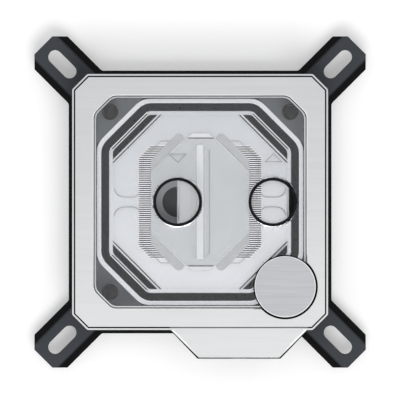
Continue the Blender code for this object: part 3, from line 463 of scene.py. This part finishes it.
def insert_plastic():
    """Pale insert with an even satin face."""
    finish = Finish("insert_plastic")
    cloud = finish.noise(220.0, 3.0)
    colour = finish.tint(cloud, (0.535, 0.555, 0.566), (0.570, 0.590, 0.601))
    rough = 0.16 + cloud * 0.06
    return finish.done(finish.principled(Base_Color=colour, Metallic=0.85, Roughness=rough))


def gasket_rubber():
    """Dark rubber with a dull bloom."""
    finish = Finish("gasket_rubber")
    bloom = finish.noise(700.0, 4.0)
    colour = finish.tint(bloom, (0.003, 0.0058, 0.0085), (0.007, 0.0105, 0.0140))
    rough = 0.62 + bloom * 0.2
    return finish.done(finish.principled(
        Base_Color=colour, Roughness=rough, Specular_IOR_Level=0.06,
        Normal=finish.bump(bloom, distance=0.000004),
    ))


def clear_acrylic():
    """Cast acrylic that lets the lamps through to the pieces inside."""
    finish = Finish("clear_acrylic")
    haze = finish.noise(180.0, 3.0)
    rough = haze * 0.004
    block = finish.principled(
        Base_Color=(0.985, 0.99, 1.0, 1), Roughness=rough, IOR=1.42, Transmission_Weight=1.0,
    )
    through = finish.node("ShaderNodeBsdfTransparent", None, {"Color": (0.985, 0.99, 1.0, 1)})
    lighting = finish.ray("Is Shadow Ray", "Is Diffuse Ray")
    return finish.done(finish.node("ShaderNodeMixShader", None, {0: lighting, 1: block, 2: through}))


def dark_plastic(name, dark, pale):
    """Moulded black plastic with a fine spark texture."""
    finish = Finish(name)
    spark = finish.noise(1800.0, 2.0)
    colour = finish.tint(spark, dark, pale)
    rough = 0.42 + spark * 0.16
    return finish.done(finish.principled(
        Base_Color=colour, Roughness=rough, Specular_IOR_Level=0.1,
        Normal=finish.bump(spark, distance=0.00001),
    ))


def board_laminate():
    """Pale board with a faint weave."""
    finish = Finish("board_laminate")
    weave = finish.noise(1400.0, 2.0)
    colour = finish.tint(weave, (0.66, 0.67, 0.66), (0.74, 0.75, 0.74))
    return finish.done(finish.principled(Base_Color=colour, Roughness=0.40 + weave * 0.1))


def lamp_package():
    """Creamy package of a small lamp."""
    finish = Finish("lamp_package")
    cloud = finish.noise(900.0, 2.0)
    colour = finish.tint(cloud, (0.76, 0.75, 0.66), (0.84, 0.83, 0.76))
    return finish.done(finish.principled(Base_Color=colour, Roughness=0.30 + cloud * 0.1))


def blackened_screw():
    """Blackened steel with a polished dome."""
    finish = Finish("blackened_screw")
    wear = finish.noise(1600.0, 3.0)
    colour = finish.tint(wear, (0.003, 0.003, 0.004), (0.008, 0.008, 0.010))
    rough = 0.10 + wear * 0.06
    return finish.done(finish.principled(Base_Color=colour, Roughness=rough, Specular_IOR_Level=0.12))


def plain_screw():
    """Plain steel with turning marks."""
    finish = Finish("plain_screw")
    turned = finish.noise(1.0, 2.0, (2500, 2500, 9000))
    colour = finish.tint(turned, (0.48, 0.48, 0.49), (0.62, 0.62, 0.63))
    rough = 0.26 + turned * 0.14
    return finish.done(finish.principled(Base_Color=colour, Metallic=1.0, Roughness=rough))


def thread_shade():
    """Painted shade: near black for the port threads, which look black because their flanks turn the
    light away, and for the screw rims and the outlet floor's patch.
    """
    finish = Finish("thread_shade")
    cloud = finish.noise(900.0, 2.0)
    colour = finish.tint(cloud, (0.004, 0.004, 0.005), (0.012, 0.012, 0.014))
    rough = 0.30 + cloud * 0.1
    return finish.done(finish.principled(Base_Color=colour, Roughness=rough, Specular_IOR_Level=0.1))


def frosted_or_painted(name, dark, pale, shine=0.0):
    """Milled or engraved acrylic, which scatters the light or throws it back like satin; the same flat
    colours also make the thin pieces of painted shade, painted highlight and painted light.
    """
    finish = Finish(name)
    frost_or_painted_light = finish.noise(2400.0, 2.0)
    colour = finish.tint(frost_or_painted_light, dark, pale)
    rough = 0.55 + frost_or_painted_light * 0.2 - shine * 0.5
    return finish.done(finish.principled(
        Base_Color=colour, Metallic=shine, Roughness=rough, Specular_IOR_Level=0.1,
    ))


def studio_floor():
    """White floor that keeps the block's shadow."""
    finish = Finish("studio_floor")
    shade = (FLOOR_SHADE, FLOOR_SHADE, FLOOR_SHADE, 1)
    paper = finish.node("ShaderNodeBsdfDiffuse", None, {"Color": shade})
    glow = finish.node("ShaderNodeEmission", None, {"Strength": finish.ray(*SEEN_RAYS) * FLOOR_GLOW})
    return finish.done(finish.node("ShaderNodeAddShader", None, {0: paper, 1: glow}))


def coat(names, material):
    """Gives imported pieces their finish."""
    for name in names:
        slots = NODES[name].data.materials
        slots.clear()
        slots.append(material)


def numbered(name, count):
    """Names of a row of like pieces."""
    return [f"{name}_{number}" for number in range(1, count + 1)]


def coat_pieces():
    """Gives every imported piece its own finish."""
    seat = dark_plastic("black_seat", (0.0005, 0.0005, 0.0006), (0.001, 0.001, 0.0012))
    housing = dark_plastic("black_housing", (0.001, 0.001, 0.0012), (0.003, 0.003, 0.0035))
    coat(["cover_frame"], brushed_aluminium())
    coat(["badge_disc"], brushed_badge())
    coat(["badge_seat"], seat)
    coat(["mounting_bracket"], coated_steel())
    coat(["cold_plate"], nickel_plate())
    coat(["jet_plate"], jet_steel())
    coat(["flow_insert"], insert_plastic())
    coat(["main_gasket"] + numbered("corner_seal", 4), gasket_rubber())
    coat(["clear_top"], clear_acrylic())
    coat(["light_housing"], housing)
    coat(["light_board"], board_laminate())
    coat(numbered("led", 4), lamp_package())
    coat(numbered("corner_screw", 4), blackened_screw())
    coat(numbered("frame_screw", 4) + numbered("housing_screw", 2), plain_screw())


def new_piece(name, shape, material, smooth=False):
    """Puts a mesh on the block, with its finish and the material slot that it belongs to."""
    mesh = bpy.data.meshes.new(name)
    shape.to_mesh(mesh)
    shape.free()
    mesh.materials.append(material)
    if smooth:
        mesh.shade_smooth()
        mesh.set_sharp_from_angle(angle=radians(SHARP_ANGLE))
    piece = bpy.data.objects.new(name, mesh)
    bpy.context.scene.collection.objects.link(piece)
    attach(piece, BODY)


def port_thread(name, x, material):
    """V shaped thread that runs down a port's wall."""
    count = THREAD_STEPS * THREAD_TURNS
    half = THREAD_PITCH * THREAD_SHARE
    top = TOP_HIGH.z - THREAD_START
    shape = bmesh.new()
    rings = []
    for step in range(count + 1):
        turn = 2 * pi * step / THREAD_STEPS
        fade = min(1.0, step / THREAD_RUNOUT, (count - step) / THREAD_RUNOUT)
        crest = THREAD_ROOT + (THREAD_CREST - THREAD_ROOT) * fade
        level = top - half - THREAD_PITCH * step / THREAD_STEPS
        section = [(THREAD_ROOT, level + half), (crest, level), (THREAD_ROOT, level - half)]
        rings.append([shape.verts.new((x + r * cos(turn), r * sin(turn), z)) for r, z in section])
    for ring, following in zip(rings, rings[1:]):
        for i in range(3):
            j = (i + 1) % 3
            shape.faces.new((ring[i], following[i], following[j], ring[j]))
    shape.faces.new(rings[0])
    shape.faces.new(rings[-1][::-1])
    bmesh.ops.remove_doubles(shape, verts=shape.verts, dist=THREAD_MERGE)
    bmesh.ops.recalc_face_normals(shape, faces=shape.faces)
    new_piece(name, shape, material, smooth=True)


def flow_mark(name, corners, material):
    """Engraved outline of a small triangle that shows which way the coolant goes."""
    shape = bmesh.new()
    low, high = TOP_HIGH.z - MARK_DEPTH, TOP_HIGH.z + MARK_DEPTH
    count = len(corners)
    for index in range(count):
        start, end = Vector(corners[index]), Vector(corners[(index + 1) % count])
        along = end - start
        middle = (start + end) / 2
        place = Matrix.Translation((middle.x, middle.y, (low + high) / 2))
        turn = Matrix.Rotation(along.angle_signed(Vector((1, 0))), 4, "Z")
        size = Matrix.Diagonal((along.length + MARK_LINE / 2, MARK_LINE, high - low, 1))
        bmesh.ops.create_cube(shape, size=1, matrix=place @ turn @ size)
    new_piece(name, shape, material)


def octagon(half_x, half_y, diagonal):
    """Corners of a box with its corners cut off at a distance from the middle, anticlockwise."""
    reach = diagonal * sqrt(2)
    right = [(half_x, half_x - reach), (half_x, reach - half_x)]
    top = [(reach - half_y, half_y), (half_y - reach, half_y)]
    half_turn = [(-x, -y) for x, y in right + top]
    return [Vector(corner) for corner in right + top + half_turn]


def rounded(corners, radius, steps=4):
    """Outline with each corner turned into an arc."""
    points = []
    for index, corner in enumerate(corners):
        back = (corners[index - 1] - corner).normalized()
        ahead = (corners[(index + 1) % len(corners)] - corner).normalized()
        half_angle = back.angle(ahead) / 2
        centre = corner + (back + ahead).normalized() * radius / sin(half_angle)
        run = radius / (sin(half_angle) / cos(half_angle))
        start = corner + back * run - centre
        turn = -start.angle_signed(corner + ahead * run - centre)
        for step in range(steps + 1):
            spoke = start.copy()
            spoke.rotate(Matrix.Rotation(turn * step / steps, 2))
            points.append(centre + spoke)
    return points


def arc(centre, radius, start, end, steps=16):
    """Points on an arc, by its angles in degrees."""
    middle = Vector(centre).xy
    angles = [radians(start + (end - start) * step / steps) for step in range(steps + 1)]
    return [middle + Vector((cos(angle), sin(angle))) * radius for angle in angles]


def circle(centre, radius, steps=32):
    """Points round a circle."""
    return arc(centre, radius, 0, 360, steps)[:-1]


def line(width, *points):
    """Outline of a line of even width along some points."""
    points = [Vector(point) for point in points]
    left, right = [], []
    for index, point in enumerate(points):
        back = (point - points[max(index - 1, 0)]).normalized()
        ahead = (points[min(index + 1, len(points) - 1)] - point).normalized()
        along = (back + ahead).normalized()
        across = Vector((-along.y, along.x)) * width / 2
        left.append(point + across)
        right.append(point - across)
    return left + right[::-1]


def turned(outline, corner):
    """The same outline in another quarter of the block."""
    return [Vector((point.x * corner[0], point.y * corner[1])) for point in outline]


def in_quarters(*outlines, corners=CORNERS):
    """Outlines for one quarter, repeated in the others."""
    return [turned(outline, corner) for corner in corners for outline in outlines]


def thin_plate(name, outlines, low, height, material):
    """Flat piece with the given outlines; one that lies inside another is a hole in it."""
    curve = bpy.data.curves.new(name, "CURVE")
    curve.dimensions = "2D"
    curve.fill_mode = "BOTH"
    curve.extrude = height / 2 / DRAWING_SCALE
    for outline in outlines:
        spline = curve.splines.new("POLY")
        spline.points.add(len(outline) - 1)
        for point, corner in zip(spline.points, outline):
            point.co = (corner[0] / DRAWING_SCALE, corner[1] / DRAWING_SCALE, 0, 1)
        spline.use_cyclic_u = True
    drawing = bpy.data.objects.new(name, curve)
    mesh = bpy.data.meshes.new_from_object(drawing)
    shape = bmesh.new()
    shape.from_mesh(mesh)
    bpy.data.objects.remove(drawing)
    bpy.data.curves.remove(curve)
    bpy.data.meshes.remove(mesh)
    shape.transform(Matrix.Translation((0, 0, low + height / 2)) @ Matrix.Scale(DRAWING_SCALE, 4))
    bmesh.ops.remove_doubles(shape, verts=shape.verts, dist=PLATE_MERGE)
    new_piece(name, shape, material)


def island_loop(inset):
    """Line round the clear top's island, from one side of the badge to the other."""
    half = ISLAND_HALF - inset
    points = rounded(octagon(half, half, ISLAND_DIAGONAL - inset), ISLAND_CORNER)
    reach = BADGE_RADIUS + BADGE_GAP
    run_right = sqrt(reach ** 2 - (half - BADGE_CENTRE.x) ** 2)
    run_lower = sqrt(reach ** 2 - (half + BADGE_CENTRE.y) ** 2)
    clear = [point for point in points if (point - BADGE_CENTRE.xy).length > reach]
    clear.insert(0, Vector((half, BADGE_CENTRE.y + run_right)))
    clear.append(Vector((BADGE_CENTRE.x - run_lower, -half)))
    return clear


def island_edge(frost_or_painted_light, dark):
    """Frosted chamfer round the clear top's island, and a painted shade line at its upper edge."""
    top = TOP_HIGH.z + ISLAND_SKIN
    sections = (
        (0, top - ISLAND_CHAMFER),
        (ISLAND_CHAMFER, top),
        (ISLAND_CHAMFER + LINE_HEIGHT, top - LINE_HEIGHT),
        (LINE_HEIGHT, top - ISLAND_CHAMFER - LINE_HEIGHT),
    )
    shape = bmesh.new()
    loops = []
    for inset, level in sections:
        loops.append([shape.verts.new((*point, level)) for point in island_loop(inset)])
    for loop, following in zip(loops, loops[1:] + loops[:1]):
        for i in range(len(loop) - 1):
            shape.faces.new((loop[i], loop[i + 1], following[i + 1], following[i]))
    shape.faces.new([loop[0] for loop in loops])
    shape.faces.new([loop[-1] for loop in loops])
    bmesh.ops.recalc_face_normals(shape, faces=shape.faces)
    new_piece("island_edge", shape, frost_or_painted_light)
    # Painted shade: a dark line round the chamfer's upper edge.
    rim = island_loop(ISLAND_CHAMFER) + island_loop(ISLAND_CHAMFER + ISLAND_RIM)[::-1]
    thin_plate("island_rim", [rim], TOP_HIGH.z, ISLAND_SKIN * 2, dark)


def gasket_land(frost_or_painted_light):
    """Painted light: a mirror-bright ring that runs round the clear top's boss, outside the gasket, over
    a band that the frame and gasket shade.
    """
    diagonal = CORNER_SEAT_DIAGONAL - LAND_MARGIN
    rings = [
        rounded(octagon(GASKET_HALF + inset, GASKET_HALF + inset, diagonal + inset), LAND_CORNER)
        for inset in (LAND_MARGIN, 0)
    ]
    thin_plate("gasket_land", rings, BRACKET_TOP + SEAT_LIFT, LINE_HEIGHT, frost_or_painted_light)


def tab_side(name, side, material):
    """Bevelled slanted edge of the frame's tab."""
    root = TAB_HALF_WIDTH + TAB_SIDE_START + FRAME_HALF
    tip = TAB_HALF_WIDTH + TAB_SIDE_END + FRAME_HALF
    sections = (
        (0, FRAME_LOW.z + TAB_SIDE_DROP),
        (0, TAB_TOP - LIP_CHAMFER),
        (LIP_CHAMFER * sqrt(2), TAB_TOP - TAB_SIDE_DROP),
    )
    shape = bmesh.new()
    rings = []
    for inset, level in sections:
        outline = [
            (root - inset, TAB_SIDE_START),
            (tip - inset, TAB_SIDE_END),
            (tip - LIP_CHAMFER * 2, TAB_SIDE_END + LIP_CHAMFER),
            (root - TAB_SIDE_ROOT, TAB_SIDE_START),
        ]
        rings.append([shape.verts.new((TAB_CENTRE + side * x, y, level)) for x, y in outline])
    for ring, following in zip(rings, rings[1:]):
        for i in range(len(ring)):
            j = (i + 1) % len(ring)
            shape.faces.new((ring[i], ring[j], following[j], following[i]))
    shape.faces.new(rings[0][::-1])
    shape.faces.new(rings[-1])
    bmesh.ops.recalc_face_normals(shape, faces=shape.faces)
    new_piece(name, shape, material)


def corner_seats(frost_or_painted_light, shade):
    """Milled seats under the clear top's corners, and painted shade rings at the rims of the screw
    holes.
    """
    half = ISLAND_HALF - ISLAND_EDGE
    start = CORNER_SEAT_DIAGONAL * sqrt(2) - half
    end = (ISLAND_DIAGONAL - ISLAND_EDGE) * sqrt(2) - half
    seat = [Vector(corner) for corner in ((half, start), (half, end), (end, half), (start, half))]
    level = BRACKET_TOP + SEAT_LIFT
    for number in range(1, 5):
        low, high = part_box(f"corner_screw_{number}")
        middle = (low + high) / 2
        corner = (1 if middle.x > 0 else -1, 1 if middle.y > 0 else -1)
        hole = circle(middle, SCREW_HOLE)
        outlines = [turned(seat, corner), hole]
        thin_plate(f"corner_seat_{number}", outlines, level, CORNER_SEAT_HEIGHT, frost_or_painted_light)
        # Painted shade: a near black ring round the screw hole.
        rim = [hole, circle(middle, SCREW_HOLE - SCREW_RIM)]
        thin_plate(f"screw_rim_{number}", rim, level + CORNER_SEAT_HEIGHT, LINE_HEIGHT, shade)


def slanted_line(width, distance, half_run):
    """Line across one quarter of the block, at a distance from its middle."""
    middle = distance / sqrt(2)
    side = half_run / sqrt(2)
    return line(width, (middle + side, middle - side), (middle - side, middle + side))


def chamber_lines(dark, bright):
    """Painted shade and painted highlight lines along the outflow chamber's slanted walls and round the
    corner seals.
    """
    thin_plate("chamber_shade", in_quarters(
        slanted_line(SHADE_WIDTH, WALL_SHADE, WALL_HALF_RUN),
        slanted_line(SHADE_WIDTH, SLOT_SHADE, SLOT_HALF_RUN),
    ), CHAMBER_CEILING, LINE_HEIGHT, dark)
    thin_plate("chamber_glint", in_quarters(
        slanted_line(WALL_GLINT_WIDTH, WALL_GLINT, WALL_HALF_RUN),
        slanted_line(SLOT_GLINT_WIDTH, SLOT_GLINT, SLOT_HALF_RUN),
        slanted_line(GASKET_GLINT_WIDTH, GASKET_GLINT, GASKET_HALF_RUN),
    ), CHAMBER_CEILING, LINE_HEIGHT, bright)


def seat_lines(dark, soft, bright):
    """Painted shade and highlight lines at the edges of the insert, of its seat and of the bridges, and
    a painted highlight strip over the slit.
    """
    end_line = line(SHADE_WIDTH, *END_EDGE)
    end_glint_patch = [Vector(corner) for corner in END_GLINT_PATCH]
    wall = line(WALL_GLINT_WIDTH, *SEAT_WALL)
    edge = line(SEAT_EDGE_WIDTH, *SEAT_EDGE)
    bridge_end = arc(BRIDGE_END, BRIDGE_END_RADIUS, *BRIDGE_END_ANGLES)
    bridge_side = arc(BRIDGE_SIDE, BRIDGE_SIDE_RADIUS, *BRIDGE_SIDE_ANGLES)
    bridge = line(BRIDGE_LINE_WIDTH, *bridge_end, *bridge_side)
    nozzle = line(SEAT_EDGE_WIDTH, (NOZZLE_EDGE_X, -NOZZLE_EDGE_HALF), (NOZZLE_EDGE_X, NOZZLE_EDGE_HALF))
    # Painted highlight: a bright strip over the slit, which hides the open slit below it.
    slit = line(SLIT_GLINT_WIDTH, (SLIT_CENTRE, -SLIT_GLINT_HALF), (SLIT_CENTRE, SLIT_GLINT_HALF))
    level = SEAT_CEILING
    thin_plate("end_line", in_quarters(end_line, corners=RIGHT_CORNERS), level, LINE_HEIGHT, dark)
    thin_plate("end_glint", in_quarters(end_glint_patch, corners=RIGHT_CORNERS), level, LINE_HEIGHT, bright)
    thin_plate("seat_glint", in_quarters(wall), level, LINE_HEIGHT, bright)
    thin_plate("seat_line", in_quarters(edge), level, LINE_HEIGHT, soft)
    thin_plate("bridge_line", in_quarters(bridge), CHAMBER_CEILING, LINE_HEIGHT, soft)
    thin_plate("nozzle_line", [nozzle], level, LINE_HEIGHT, soft)
    thin_plate("slit_glint", [slit], level, LINE_HEIGHT, bright)


def port_floors(dark, well_painted_shade, port_floor_painted_shade, bright):
    """Painted shade on the floors of the two ports, seen down through their threads, and painted
    highlight lines at their walls.
    """
    well = arc((INLET_X, 0), PORT_WELL, *WELL_ANGLES, PORT_STEPS)
    crescent = arc((INLET_X, 0), PORT_CORE, *CORE_ANGLES, PORT_STEPS) + well[::-1]
    thin_plate("inlet_well", [well], WELL_FLOOR, LINE_HEIGHT, well_painted_shade)
    thin_plate("inlet_floor", [crescent], PORT_FLOOR, LINE_HEIGHT, port_floor_painted_shade)
    wall_x = INLET_X + FUNNEL_EDGE + INLET_WALL_OFFSET
    wall = line(INLET_WALL_WIDTH, (wall_x, -PORT_CORE), (wall_x, PORT_CORE))
    thin_plate("inlet_wall", [wall], WELL_FLOOR, LINE_HEIGHT, bright)
    patch = arc((OUTLET_X, 0), PORT_CORE, *OUTLET_ANGLES)
    thin_plate("outlet_floor", [patch], PORT_FLOOR, LINE_HEIGHT, dark)
    rim = line(OUTLET_WALL_WIDTH, (OUTLET_WALL_X, patch[0].y), (OUTLET_WALL_X, patch[-1].y))
    thin_plate("outlet_wall", [rim], PORT_FLOOR, LINE_HEIGHT, bright)


def make_detail():
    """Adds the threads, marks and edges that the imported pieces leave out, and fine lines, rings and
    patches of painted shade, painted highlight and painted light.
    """
    shade = thread_shade()
    port_thread("inlet_thread", INLET_X, shade)
    port_thread("outlet_thread", OUTLET_X, shade)
    engraved = frosted_or_painted("engraved_line", (0.30, 0.31, 0.32), (0.40, 0.41, 0.42))
    flow_mark("inlet_mark", INLET_MARK, engraved)
    flow_mark("outlet_mark", OUTLET_MARK, engraved)
    metal = NODES["cover_frame"].data.materials[0]
    tab_side("tab_side_right", 1, metal)
    tab_side("tab_side_left", -1, metal)
    edge = frosted_or_painted("frosted_edge", (0.84, 0.85, 0.86), (0.92, 0.93, 0.94))
    seat_frost = frosted_or_painted("milled_seat", (0.140, 0.153, 0.162), (0.178, 0.193, 0.204))
    # Painted light: mirror-bright colour for the ring round the boss, outside the gasket.
    land_painted_light = frosted_or_painted("painted_light_land", (0.70, 0.71, 0.73), (0.73, 0.74, 0.76), 1.0)
    # Painted shade on the ports' floors and wells.
    port_floor_painted_shade = frosted_or_painted("port_floor", (0.36, 0.375, 0.385), (0.41, 0.425, 0.435))
    well_painted_shade = frosted_or_painted("well_floor", (0.082, 0.084, 0.090), (0.100, 0.102, 0.108))
    # Painted shade and painted highlight colours for the thin lines in and on the clear top.
    dark = frosted_or_painted("painted_edge_shade", (0.020, 0.021, 0.023), (0.040, 0.042, 0.045))
    soft = frosted_or_painted("painted_soft_edge_shade", (0.26, 0.27, 0.28), (0.34, 0.35, 0.36))
    bright = frosted_or_painted("painted_edge_highlight", (0.88, 0.89, 0.90), (0.96, 0.97, 0.98))
    island_edge(edge, dark)
    gasket_land(land_painted_light)
    corner_seats(seat_frost, shade)
    chamber_lines(dark, bright)
    seat_lines(dark, soft, bright)
    port_floors(shade, well_painted_shade, port_floor_painted_shade, bright)


def make_floor():
    """Lays the white floor just below the block."""
    mesh = bpy.data.meshes.new("studio_floor")
    shape = bmesh.new()
    bmesh.ops.create_grid(shape, x_segments=1, y_segments=1, size=FLOOR_SIZE / 2)
    shape.to_mesh(mesh)
    shape.free()
    mesh.materials.append(studio_floor())
    floor = bpy.data.objects.new("studio_floor", mesh)
    floor.location.z = cad_low.z - FLOOR_GAP
    bpy.context.scene.collection.objects.link(floor)


def make_sky():
    """Even pale sky, which the camera, gloss and clear pieces see as white."""
    world = bpy.data.worlds.new("studio_sky")
    bpy.context.scene.world = world
    sky = Finish("studio_sky", world)
    strength = sky.ray(*SEEN_RAYS) * (SEEN_WHITE - SKY_SHADE) + SKY_SHADE
    sky.done(sky.node("ShaderNodeBackground", None, {"Color": (1, 1, 1, 1), "Strength": strength}))


def make_lamps():
    """Hangs one wide lamp above the block and a little in front of it."""
    lamp = bpy.data.lights.new("key_lamp", "AREA")
    lamp.shape = "DISK"
    lamp.size = KEY_SIZE
    lamp.energy = KEY_POWER
    key = bpy.data.objects.new("key_lamp", lamp)
    key.location = KEY_PLACE
    key.rotation_mode = "QUATERNION"
    key.rotation_quaternion = (-key.location).to_track_quat("-Z", "Y")
    bpy.context.scene.collection.objects.link(key)


def make_camera():
    """Frames the wanted width at one level of the block."""
    lens = bpy.data.cameras.new("camera")
    lens.sensor_width = SENSOR_WIDTH
    lens.lens = SENSOR_WIDTH * (CAMERA_HEIGHT - PLANE_LEVEL) / PLANE_WIDTH
    lens.clip_start = NEAR_CLIP
    camera = bpy.data.objects.new("camera", lens)
    camera.location = (CAMERA_X, CAMERA_Y, CAMERA_HEIGHT)
    bpy.context.scene.collection.objects.link(camera)
    bpy.context.scene.camera = camera


bpy.context.scene.view_settings.view_transform = "Standard"
coat_pieces()
make_detail()
make_floor()
make_sky()
make_lamps()
make_camera()
